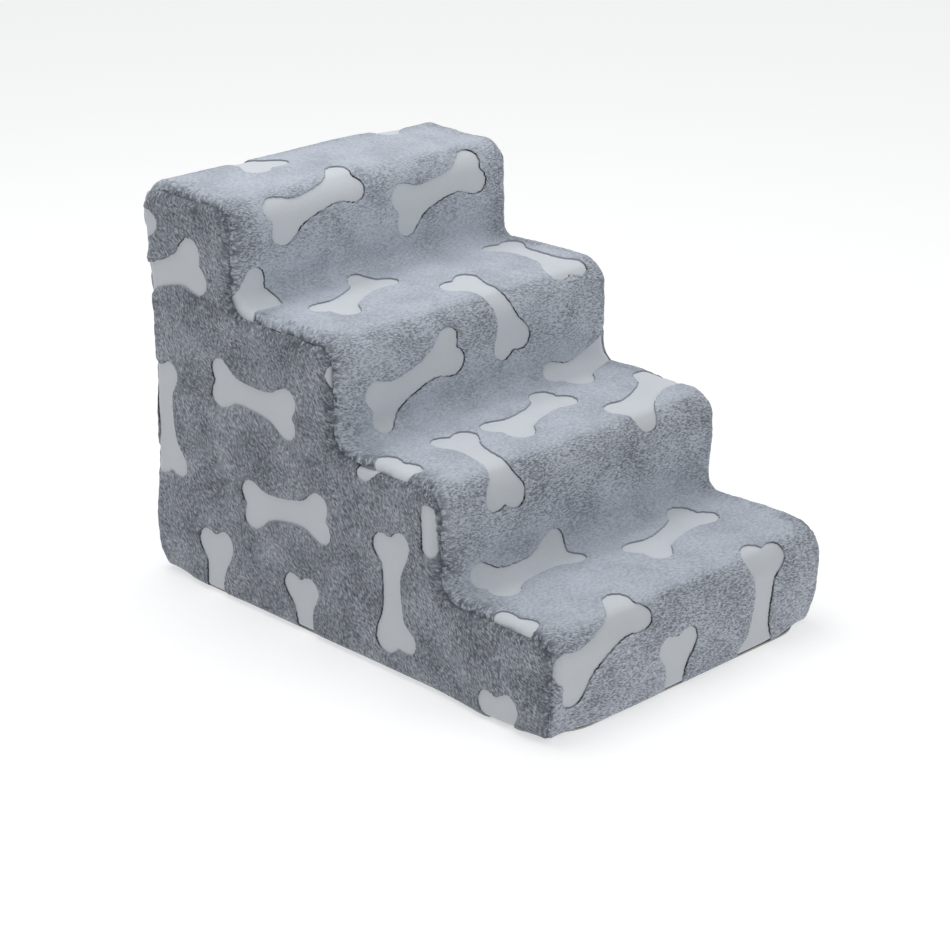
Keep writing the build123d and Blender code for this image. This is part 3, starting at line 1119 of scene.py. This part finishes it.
def pile_cloth(name, nap, parting, shade):
    """Short brushed pile: fine streaks along the nap that part to near-black painted shade between the tufts,
    with painted shade down each seam and painted highlights on the tips; flat and painted pale on the treads
    as painted top light and sheen, with the tips painted lighter or darker for each panel by `shade`.
    """
    colours = bpy.context.scene.cover_colours
    material, tree, shader = blank_material(name)
    times = functools.partial(sums, tree, "MULTIPLY")
    plus = functools.partial(sums, tree, "ADD")
    most = functools.partial(sums, tree, "MAXIMUM")
    less = functools.partial(sums, tree, "SUBTRACT")
    place = cloth_place(tree, 14.0, 0.016)
    streak = noise(tree, stretched(tree, place, 0.0012, 0.0034, nap), 1.0, 1.0, 0.5)
    fleck = noise(tree, stretched(tree, place, 0.0019, 0.0042, nap + 34), 1.0, 1.0, 0.5)
    patch = noise(tree, place, 22.0, 2.0)
    seam = marked(tree, "seam")
    ruffled = ramp(tree, seam, 0.006, 0.040, 0.6, 0.0)
    # Painted light: the pile is painted paler where it lies flat, as top light and sheen on the treads,
    # bounce light at the risers' feet and light towards the top, less near the seams
    flat = times(marked(tree, "combed_and_lit"), less(1.0, ruffled))
    flat = times(flat, ramp(tree, patch, 0.3, 0.6, 0.78, 1.0))
    lying_and_lit = ramp(tree, flat, 0.10, 0.95)
    height = plus(times(streak, 0.60), times(fleck, 0.40), times(less(patch, 0.5), 0.30))
    # Painted shade: where the pile parts it is painted near black, as the shade between the tufts, less where
    # it lies flat
    shaded_parting = ramp(tree, height, 0.33, 0.61, 1.0, 0.0)
    shaded_parting = times(shaded_parting, ramp(tree, lying_and_lit, 0.0, 1.0, parting, 0.34))
    # Tangled strands beside each seam, which part to the same painted shade
    tangle = noise(tree, cloth_place(tree, 120.0, 0.008, 7.0), 170.0, 2.5, 0.6)
    beside = ramp(tree, plus(seam, times(patch, 0.024)), 0.011, 0.027, 1.0, 0.0)
    strands = times(ramp(tree, tangle, 0.42, 0.55, 0.95, 0.0), beside)
    # Painted shade down the crease of each seam
    core = times(
        ramp(tree, seam, 0.0003, 0.0028, 0.9, 0.0), ramp(tree, tangle, 0.42, 0.62, 1.0, 0.1))
    # Painted light and shade: the tip colour is scaled by each panel's shade, paler on the strip and darker
    # on the flanks, then painted paler on the treads as top light and sheen
    tips = mixed(tree, flat, shades(colours.tip, shade), tuple(colours.comb))
    # Painted highlights: the highest tips are painted towards the bone colour, less where the pile lies flat
    painted_highlight = times(ramp(tree, height, 0.52, 0.74), ramp(tree, lying_and_lit, 0.0, 1.0, 0.5, 0.25))
    tips = mixed(tree, painted_highlight, tips, tuple(colours.bone))
    colour = mixed(tree, most(shaded_parting, strands, core), tips, tuple(colours.root))
    relief = times(height, ramp(tree, lying_and_lit, 0.0, 1.0, 1.0, 0.3))
    finish(tree, shader, colour, 0.95, relief, 0.0011, 0.7)
    nap_sheen(shader, 0.30, 0.45)
    shader.inputs["Sheen Tint"].default_value = (0.86, 0.9, 1.0, 1)
    return material


@functools.cache
def strip_pile():
    """The pile of the strip and the back, brushed nearly straight across, its tips painted paler as painted
    light.
    """
    return pile_cloth("plush_pile_strip", -22, 0.76, 1.17)


@functools.cache
def flank_pile():
    """The pile of the flanks, brushed up towards the back and more open, its tips painted darker as painted
    shade.
    """
    return pile_cloth("plush_pile_flank", 34, 0.98, 0.77)


@functools.cache
def sheared_nap():
    """The bones: nap sheared short and even, painted paler on the treads and darker on upright faces as
    painted light and shade.
    """
    bone = bpy.context.scene.cover_colours.bone
    material, tree, shader = blank_material("plush_bone")
    place = cloth_place(tree, 30.0, 0.01, 3.0)
    fine = noise(tree, stretched(tree, place, 0.0016, 0.0022, 12), 1.0, 2.0)
    patch = noise(tree, place, 26.0, 1.0)
    shade = sums(
        tree, "ADD", ramp(tree, fine, 0.3, 0.7, 0.0, 0.10), ramp(tree, patch, 0.35, 0.65, 0.0, 0.10))
    # Painted light and shade: bones are painted paler where the pile lies flat on the treads and darker on
    # upright faces
    lying_and_lit = ramp(tree, marked(tree, "combed_and_lit"), 0.2, 1.0)
    tone = mixed(tree, lying_and_lit, shades(bone, 0.87), shades(bone, 1.04))
    finish(tree, shader, mixed(tree, shade, tone, shades(bone, 0.70)), 0.92, fine, 0.0004, 0.4)
    nap_sheen(shader, 0.22, 0.4)
    return material


@functools.cache
def pile_root_shade():
    """The cut edge of the pile round a bone, painted near black as the shade in the gap where the pile leans
    away from the bone, and painted paler on the treads as top light.
    """
    colours = bpy.context.scene.cover_colours
    material, tree, shader = blank_material("plush_root_shade")
    place = cloth_place(tree, 40.0, 0.004, 5.0)
    grain = noise(tree, stretched(tree, place, 0.0018, 0.0018, 0), 1.0, 2.0)
    # Painted shade on the cut edge, broken by noise, in the tip colour where the pile leans over the bone and
    # painted paler on the treads
    tone = sums(
        tree, "MAXIMUM",
        ramp(tree, grain, 0.35, 0.75, 0.0, 0.5),
        ramp(tree, noise(tree, place, 70.0, 1.0), 0.42, 0.62, 0.0, 0.75),
        ramp(tree, marked(tree, "combed_and_lit"), 0.6, 1.0, 0.0, 0.70),
        ramp(tree, marked(tree, "lee"), -0.60, 0.20, 0.97, 0.0))
    finish(tree, shader, mixed(tree, tone, shades(colours.root, 0.3), tuple(colours.tip)), 1.0)
    shader.inputs["Specular IOR Level"].default_value = 0.05
    return material


@functools.cache
def knit_backing():
    """The knit behind the pile."""
    backing = bpy.context.scene.cover_colours.backing
    material, tree, shader = blank_material("plush_backing")
    knit = node(tree, "ShaderNodeTexWave", {
        "Vector": cloth_place(tree, 20.0, 0.002), "Scale": 260.0, "Distortion": 2.0,
        "Detail": 1.0}).outputs["Fac"]
    finish(tree, shader, mixed(tree, knit, shades(backing, 0.7), tuple(backing)), 0.95, knit, 0.0003)
    return material


def object_place(tree):
    """A node's own coordinates in metres."""
    return node(tree, "ShaderNodeTexCoord").outputs["Object"]


@functools.cache
def foam_cells():
    """Open-cell foam with fine pores."""
    foam = bpy.context.scene.cover_colours.foam
    material, tree, shader = blank_material("foam_cells")
    place = object_place(tree)
    pores = node(tree, "ShaderNodeTexVoronoi", {"Vector": place, "Scale": 420.0}).outputs["Distance"]
    # Painted shade: the pores are painted darker, as the shade in their hollows
    pore_shade = sums(tree, "MULTIPLY", ramp(tree, pores, 0.1, 0.4, 1.0, 0.0), 0.5)
    tone = mixed(tree, pore_shade, tuple(foam), shades(foam, 0.55))
    aged = tuple(value * share for value, share in zip(foam, (0.95, 0.86, 0.62)))
    cloud = ramp(tree, noise(tree, place, 18.0, 3.0), 0.45, 0.8, 0.0, 0.5)
    finish(tree, shader, mixed(tree, cloud, tone, aged), 0.9, pores, 0.0006)
    return material


def woven_material(name, colour, pitch, rough):
    """Plain-woven threads, `pitch` metres apart both ways."""
    material, tree, shader = blank_material(name)
    place = object_place(tree)
    turns = 1 / (pitch * math.pi)
    threads = [
        node(tree, "ShaderNodeTexWave", {"Vector": place, "Scale": turns, "Distortion": 0.4},
             bands_direction=way).outputs["Fac"]
        for way in ("X", "DIAGONAL")]
    weave = sums(tree, "MULTIPLY", *threads)
    blotch = ramp(tree, noise(tree, place, 60.0, 2.0), 0.4, 0.7, 0.0, 0.25)
    darker = shades(colour, 0.45)
    tone = mixed(tree, weave, darker, tuple(colour))
    finish(tree, shader, mixed(tree, blotch, tone, darker), rough, weave, 0.0002)
    return material


@functools.cache
def base_weave():
    """The pale non-slip cloth."""
    return woven_material("base_weave", bpy.context.scene.cover_colours.base, 0.0011, 0.9)


@functools.cache
def tape_weave():
    """The zip's tape."""
    return woven_material("zip_tape", bpy.context.scene.cover_colours.zip, 0.0008, 0.85)


@functools.cache
def grip_rubber():
    """The moulded grip dots."""
    dots = bpy.context.scene.cover_colours.dots
    material, tree, shader = blank_material("grip_rubber")
    speck = noise(tree, object_place(tree), 700.0, 2.0)
    finish(tree, shader, mixed(tree, speck, tuple(dots), shades(dots, 1.4)), 0.6)
    return material


@functools.cache
def coil_nylon():
    """Moulded nylon wire of the coils."""
    wire = shades(bpy.context.scene.cover_colours.zip, 1.25)
    material, tree, shader = blank_material("coil_nylon")
    haze = noise(tree, object_place(tree), 300.0, 2.0)
    finish(tree, shader, mixed(tree, haze, wire, shades(wire, 0.8)), 0.38)
    return material


@functools.cache
def zip_enamel():
    """Enamelled die-cast metal, worn paler where it rubs."""
    metal = bpy.context.scene.cover_colours.metal
    material, tree, shader = blank_material("zip_enamel")
    place = object_place(tree)
    edge = node(tree, "ShaderNodeNewGeometry").outputs["Pointiness"]
    rubbed = ramp(tree, noise(tree, place, 900.0), 0.35, 0.6)
    worn = sums(tree, "MULTIPLY", ramp(tree, edge, 0.52, 0.62), rubbed)
    finish(tree, shader, mixed(tree, worn, tuple(metal), shades(metal, 2.0)), 0.4)
    shader.inputs["Metallic"].default_value = 0.85
    rough = ramp(tree, noise(tree, place, 400.0, 3.0), 0.3, 0.7, 0.28, 0.42)
    tree.links.new(rough, shader.inputs["Roughness"])
    return material


# ---------------------------------------------------------------- core, base and zip


def box_of(name):
    """A CAD node's lowest and highest corners as arrays."""
    low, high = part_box(name)
    return np.array(low), np.array(high)


def make_foam(name):
    """One slab of foam, cut from the frame's slab with soft skin and slightly crowned faces."""
    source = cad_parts[name]
    slab = add_object(name.replace("slab", "core"), source.data.copy())
    slab.data.materials.clear()
    remesh = slab.modifiers.new("remesh", "REMESH")
    remesh.mode = "VOXEL"
    remesh.voxel_size = FOAM_GRAIN
    smooth = slab.modifiers.new("smooth", "SMOOTH")
    smooth.iterations = 3
    baked = bpy.data.meshes.new_from_object(
        slab.evaluated_get(bpy.context.evaluated_depsgraph_get()))
    slab.modifiers.clear()
    slab.data = baked
    low, high = box_of(name)
    middle = (low + high) / 2
    half = (high - low) / 2
    points = np.empty(len(baked.vertices) * 3)
    baked.vertices.foreach_get("co", points)
    points = points.reshape(-1, 3)
    share = (points - middle) / half
    slack = 0.8 * MM * (share ** 4)
    points -= np.sign(share) * (slack[:, [1, 2, 0]] + 0.6 * MM) * (np.abs(share) > 0.9)
    points += waves(points, 0.05, len(name))[:, None] * 0.2 * MM * np.sign(share)
    points = cover_form().cage.press(points, 5 * MM)
    beside_zip = np.abs(points[:, 2] - ZIP_Z) < 2 * FOAM_GRAIN
    points[beside_zip, 1] = np.minimum(points[beside_zip, 1], SLIDER_INSIDE - 0.8 * MM)
    baked.vertices.foreach_set("co", points.ravel())
    baked.polygons.foreach_set("use_smooth", np.ones(len(baked.polygons), bool))
    baked.materials.append(foam_cells())
    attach(slab, "stairs")
    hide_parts(name)
    return slab


def grid_sheet(ring, low, high, gap):
    """A flat closed sheet with an edge, from a ring in metres."""
    spread = hex_points(ring.min(0), ring.max(0), gap)
    spread = spread[inside_ring(spread, ring)]
    spread = spread[from_ring(spread, ring) > gap * 0.5]
    flat, faces, _ = triangulate(ring / MM, [], spread / MM)
    flat = flat * MM
    count = len(flat)
    rim = rim_of(faces)
    top = np.column_stack([flat, np.full(count, high)])
    under = np.column_stack([flat, np.full(count, low)])
    quads = np.column_stack([rim, rim + count, np.roll(rim, -1) + count, np.roll(rim, -1)])
    return np.vstack([top, under]), faces.tolist() + (faces[:, ::-1] + count).tolist() + quads.tolist()


def add_domes(points, faces, centres, radius, height, floor):
    """Little round dots that stand down from a sheet."""
    angles = np.linspace(0, 2 * math.pi, 8, endpoint=False)
    for x, y in centres:
        start = len(points)
        for share, drop in ((1.0, 0.0), (0.85, 0.6), (0.45, 1.0)):
            for angle in angles:
                points.append((
                    x + radius * share * math.cos(angle), y + radius * share * math.sin(angle),
                    floor + height * (1 - drop)))
        for ring in (0, 8):
            for k in range(8):
                after = (k + 1) % 8
                faces.append((start + ring + k, start + ring + 8 + k, start + ring + 8 + after,
                              start + ring + after))
        faces.append(tuple(start + 16 + k for k in reversed(range(8))))
        faces.append(tuple(start + k for k in range(8)))


def make_base():
    """The non-slip base cloth with its grid of rubber dots."""
    shape = bpy.context.scene.cover_shape
    lip = shape.curl
    corner = shape.side + 30 * MM
    half = np.array([WIDE / 2 - lip, LONG / 2 - lip])
    corners = []
    for x, y, start in ((1, -1, -90), (1, 1, 0), (-1, 1, 90), (-1, -1, 180)):
        for angle in np.radians(np.linspace(start, start + 90, 9)):
            centre = (half - corner) * (x, y)
            corners.append(centre + corner * np.array([math.cos(angle), math.sin(angle)]))
    ring = even_ring(np.array(corners), 8 * MM)
    dot = 0.6 * MM
    points, faces = grid_sheet(ring, dot, BASE_T, 12 * MM)
    points = points.tolist()
    pitch = 14 * MM
    centres = hex_points(-half + 12 * MM, half - 12 * MM, pitch)
    cloth_faces = len(faces)
    add_domes(points, faces, centres.tolist(), 2.2 * MM, dot, 0.0)
    mesh = bpy.data.meshes.new("base_sheet")
    mesh.from_pydata(points, [], faces)
    kinds = np.zeros(len(faces), int)
    kinds[cloth_faces:] = 1
    mesh.polygons.foreach_set("material_index", kinds)
    mesh.materials.append(base_weave())
    mesh.materials.append(grip_rubber())
    base = add_object("base_sheet", mesh)
    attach(base, "stairs")
    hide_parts("bottom_panel")
    return base


def make_tape(side):
    """One woven tape with a raised edge cord: +1 above, -1 below."""
    node_name = "zip_tape_upper" if side > 0 else "zip_tape_lower"
    low, high = box_of(node_name)
    rows = 14
    columns = round((high[0] - low[0]) / (4 * MM))
    x = np.linspace(low[0], high[0], columns + 1)
    z = np.linspace(low[2], high[2], rows + 1)
    across, up = np.meshgrid(x, z)
    ripple = waves(np.column_stack([across.ravel(), up.ravel()]), 0.03, 5).reshape(across.shape)
    outer = np.full(across.shape, high[1] - 0.15 * MM) + ripple * 0.05 * MM
    near_chain = np.abs(up - ZIP_Z) < 3.6 * MM
    outer[near_chain] += 0.1 * MM
    inner = np.full(across.shape, low[1])
    points = [np.column_stack([across.ravel(), depth.ravel(), up.ravel()]) for depth in (outer, inner)]
    wide = columns + 1
    index = np.arange(wide * (rows + 1)).reshape(rows + 1, wide)
    quads = np.stack([index[:-1, :-1], index[1:, :-1], index[1:, 1:], index[:-1, 1:]], -1).reshape(-1, 4)
    size = index.size
    ring = np.r_[index[0, :-1], index[:-1, -1], index[-1, :0:-1], index[:0:-1, 0]]
    edge = np.column_stack([ring, np.roll(ring, -1), np.roll(ring, -1) + size, ring + size])
    faces = quads.tolist() + (quads[:, ::-1] + size).tolist() + edge.tolist()
    mesh = bpy.data.meshes.new(node_name + "_cloth")
    mesh.from_pydata(np.vstack(points).tolist(), [], faces)
    mesh.materials.append(tape_weave())
    tape = add_object(node_name + "_cloth", mesh)
    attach(tape, "stairs")
    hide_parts(node_name)
    return tape


def tube_along(path, radius, sides):
    """Points and faces of a closed tube that follows a path."""
    ahead = np.gradient(path, axis=0)
    ahead /= np.linalg.norm(ahead, axis=1)[:, None]
    aside = np.cross(ahead, (1.0, 0.0, 0.0))
    aside /= np.maximum(np.linalg.norm(aside, axis=1), 1e-9)[:, None]
    over = np.cross(ahead, aside)
    angles = np.linspace(0, 2 * math.pi, sides, endpoint=False)
    rings = path[:, None] + radius * (
        np.cos(angles)[None, :, None] * aside[:, None] + np.sin(angles)[None, :, None] * over[:, None])
    index = np.arange(len(path) * sides).reshape(len(path), sides)
    after = np.roll(index, -1, axis=1)
    quads = np.stack([index[:-1], after[:-1], after[1:], index[1:]], -1).reshape(-1, 4)
    faces = quads.tolist() + [index[0, ::-1].tolist(), index[-1].tolist()]
    return rings.reshape(-1, 3), faces


def make_coil(side):
    """One row of the zip: a nylon wire wound in flattened loops."""
    node_name = "zip_coil_upper" if side > 0 else "zip_coil_lower"
    low, high = box_of(node_name)
    wire = 0.38 * MM
    pitch = 1.5 * MM
    per_turn = 12
    turns = round((high[0] - low[0] - 2 * wire) / pitch)
    angle = np.linspace(0, 2 * math.pi * turns, turns * per_turn + 1)
    middle = (low + high) / 2
    reach = (high - low) / 2 - wire
    lean = np.linspace(low[0] + wire, high[0] - wire, len(angle))
    squared = 0.75
    path = np.column_stack([
        lean,
        middle[1] + reach[1] * np.sign(np.sin(angle)) * np.abs(np.sin(angle)) ** squared,
        middle[2] + reach[2] * np.sign(np.cos(angle)) * np.abs(np.cos(angle)) ** squared])
    points, faces = tube_along(path, wire, 6)
    mesh = bpy.data.meshes.new(node_name + "_wire")
    mesh.from_pydata(points.tolist(), [], faces)
    mesh.polygons.foreach_set("use_smooth", np.ones(len(faces), bool))
    mesh.materials.append(coil_nylon())
    coil = add_object(node_name + "_wire", mesh)
    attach(coil, "stairs")
    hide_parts(node_name)
    return coil


def finish_metal():
    """Gives the slider, tab and stops their enamel."""
    for name in ("zip_slider", "zip_pull_tab", "zip_top_stops", "zip_bottom_stop"):
        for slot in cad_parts[name].material_slots:
            slot.material = zip_enamel()


# ---------------------------------------------------------------- stage


def make_stage():
    """A plain pale floor, soft light all round and two large lamps, one overhead and one in front."""
    studio = bpy.context.scene.studio
    scene = bpy.context.scene
    half = 12.0
    corners = [(-half, -half, 0), (half, -half, 0), (half, half, 0), (-half, half, 0)]
    mesh = bpy.data.meshes.new("floor")
    mesh.from_pydata(corners, [], [(0, 1, 2, 3)])
    material, _, shader = blank_material("floor_paper")
    shader.inputs["Base Color"].default_value = (studio.paper, studio.paper, studio.paper, 1)
    shader.inputs["Emission Color"].default_value = (1, 1, 1, 1)
    shader.inputs["Emission Strength"].default_value = studio.glow
    shader.inputs["Roughness"].default_value = 0.9
    mesh.materials.append(material)
    floor = add_object("floor", mesh)
    world = bpy.data.worlds.new("studio")
    world.use_nodes = True
    sky = world.node_tree.nodes["Background"]
    sky.inputs["Color"].default_value = (0.97, 0.985, 1.0, 1)
    sky.inputs["Strength"].default_value = studio.sky
    scene.world = world
    add_lamp("overhead", (-0.1, 0.42, 1.75), 1.4, studio.lamp)
    add_lamp("front", (1.2, -2.6, 1.5), 1.8, studio.front)
    scene.view_settings.view_transform = "Standard"


def add_lamp(name, place, size, power):
    """A soft square lamp that points at the stairs."""
    light = bpy.data.lights.new(name, "AREA")
    light.shape = "SQUARE"
    light.size = size
    light.energy = power
    lamp = bpy.data.objects.new(name, light)
    lamp.location = place
    lamp.rotation_euler = (Vector((0, 0, RISE)) - Vector(place)).to_track_quat("-Z", "Y").to_euler()
    bpy.context.scene.collection.objects.link(lamp)


def make_camera():
    """The camera, aimed from its azimuth, elevation and roll."""
    studio = bpy.context.scene.studio
    azimuth, elevation, roll = (math.radians(v) for v in (studio.azimuth, studio.elevation, studio.roll))
    back = Vector((
        math.sin(azimuth) * math.cos(elevation), -math.cos(azimuth) * math.cos(elevation),
        math.sin(elevation)))
    level = Vector((math.cos(azimuth), math.sin(azimuth), 0))
    upright = back.cross(level)
    right = math.cos(roll) * level + math.sin(roll) * upright
    up = -math.sin(roll) * level + math.cos(roll) * upright
    lens = bpy.data.cameras.new("camera")
    lens.lens = studio.lens
    lens.clip_end = 50
    camera = bpy.data.objects.new("camera", lens)
    turn = Matrix((right, up, back)).transposed().to_4x4()
    camera.matrix_world = Matrix.Translation(Vector(studio.aim) + back * studio.distance) @ turn
    bpy.context.scene.collection.objects.link(camera)
    bpy.context.scene.camera = camera


# ---------------------------------------------------------------- operators and panel


class PETSTAIRS_OT_foam(bpy.types.Operator):
    """Make the four foam slabs of the core"""

    bl_idname = "petstairs.foam"
    bl_label = "Foam core"

    def execute(self, context):
        for name in FOAM_NAMES:
            make_foam(name)
        return {"FINISHED"}


class PETSTAIRS_OT_base(bpy.types.Operator):
    """Make the non-slip base cloth"""

    bl_idname = "petstairs.base"
    bl_label = "Base cloth"

    def execute(self, context):
        make_base()
        return {"FINISHED"}


class PETSTAIRS_OT_strip(bpy.types.Operator):
    """Sew the plush strip over the steps"""

    bl_idname = "petstairs.strip"
    bl_label = "Stair strip"

    def execute(self, context):
        sew_strip()
        return {"FINISHED"}


class PETSTAIRS_OT_flanks(bpy.types.Operator):
    """Sew the two plush flanks"""

    bl_idname = "petstairs.flanks"
    bl_label = "Flanks"

    def execute(self, context):
        for side in (-1, 1):
            sew_flank(side)
        return {"FINISHED"}


class PETSTAIRS_OT_back(bpy.types.Operator):
    """Sew the two plush back panels, above and below the zip"""

    bl_idname = "petstairs.back"
    bl_label = "Back panels"

    def execute(self, context):
        for side in (1, -1):
            sew_back(side)
        return {"FINISHED"}


class PETSTAIRS_OT_zip(bpy.types.Operator):
    """Make the zip's tapes, coils and metal"""

    bl_idname = "petstairs.zip"
    bl_label = "Zip"

    def execute(self, context):
        for side in (1, -1):
            make_tape(side)
            make_coil(side)
        finish_metal()
        return {"FINISHED"}


class PETSTAIRS_OT_stage(bpy.types.Operator):
    """Set the floor, the lights and the camera"""

    bl_idname = "petstairs.stage"
    bl_label = "Stage"

    def execute(self, context):
        make_stage()
        make_camera()
        return {"FINISHED"}


class PETSTAIRS_PT_panel(bpy.types.Panel):
    """Lists the pieces of the stairs and their sizes and colours"""

    bl_idname = "PETSTAIRS_PT_panel"
    bl_label = "Pet Stairs"
    bl_space_type = "VIEW_3D"
    bl_region_type = "UI"
    bl_category = "Pet Stairs"

    def draw(self, context):
        for group in (context.scene.cover_shape, context.scene.cover_colours, context.scene.studio):
            column = self.layout.column(align=True)
            for name in type(group).__annotations__:
                column.prop(group, name)
        for step in OPERATORS:
            self.layout.operator(step.bl_idname)


GROUPS = (CoverShape, CoverColours, StudioSettings)
OPERATORS = (
    PETSTAIRS_OT_foam,
    PETSTAIRS_OT_base,
    PETSTAIRS_OT_strip,
    PETSTAIRS_OT_flanks,
    PETSTAIRS_OT_back,
    PETSTAIRS_OT_zip,
    PETSTAIRS_OT_stage,
)
CLASSES = (*GROUPS, *OPERATORS, PETSTAIRS_PT_panel)


def register():
    """Registers the classes and their settings."""
    for made in CLASSES:
        bpy.utils.register_class(made)
    bpy.types.Scene.cover_shape = PointerProperty(type=CoverShape)
    bpy.types.Scene.cover_colours = PointerProperty(type=CoverColours)
    bpy.types.Scene.studio = PointerProperty(type=StudioSettings)


def unregister():
    """Removes the settings and the classes."""
    del bpy.types.Scene.studio
    del bpy.types.Scene.cover_colours
    del bpy.types.Scene.cover_shape
    for made in reversed(CLASSES):
        bpy.utils.unregister_class(made)


def main():
    """Builds everything in order."""
    register()
    bpy.ops.petstairs.foam()
    bpy.ops.petstairs.base()
    bpy.ops.petstairs.strip()
    bpy.ops.petstairs.flanks()
    bpy.ops.petstairs.back()
    bpy.ops.petstairs.zip()
    bpy.ops.petstairs.stage()


if __name__ == "__main__":
    main()
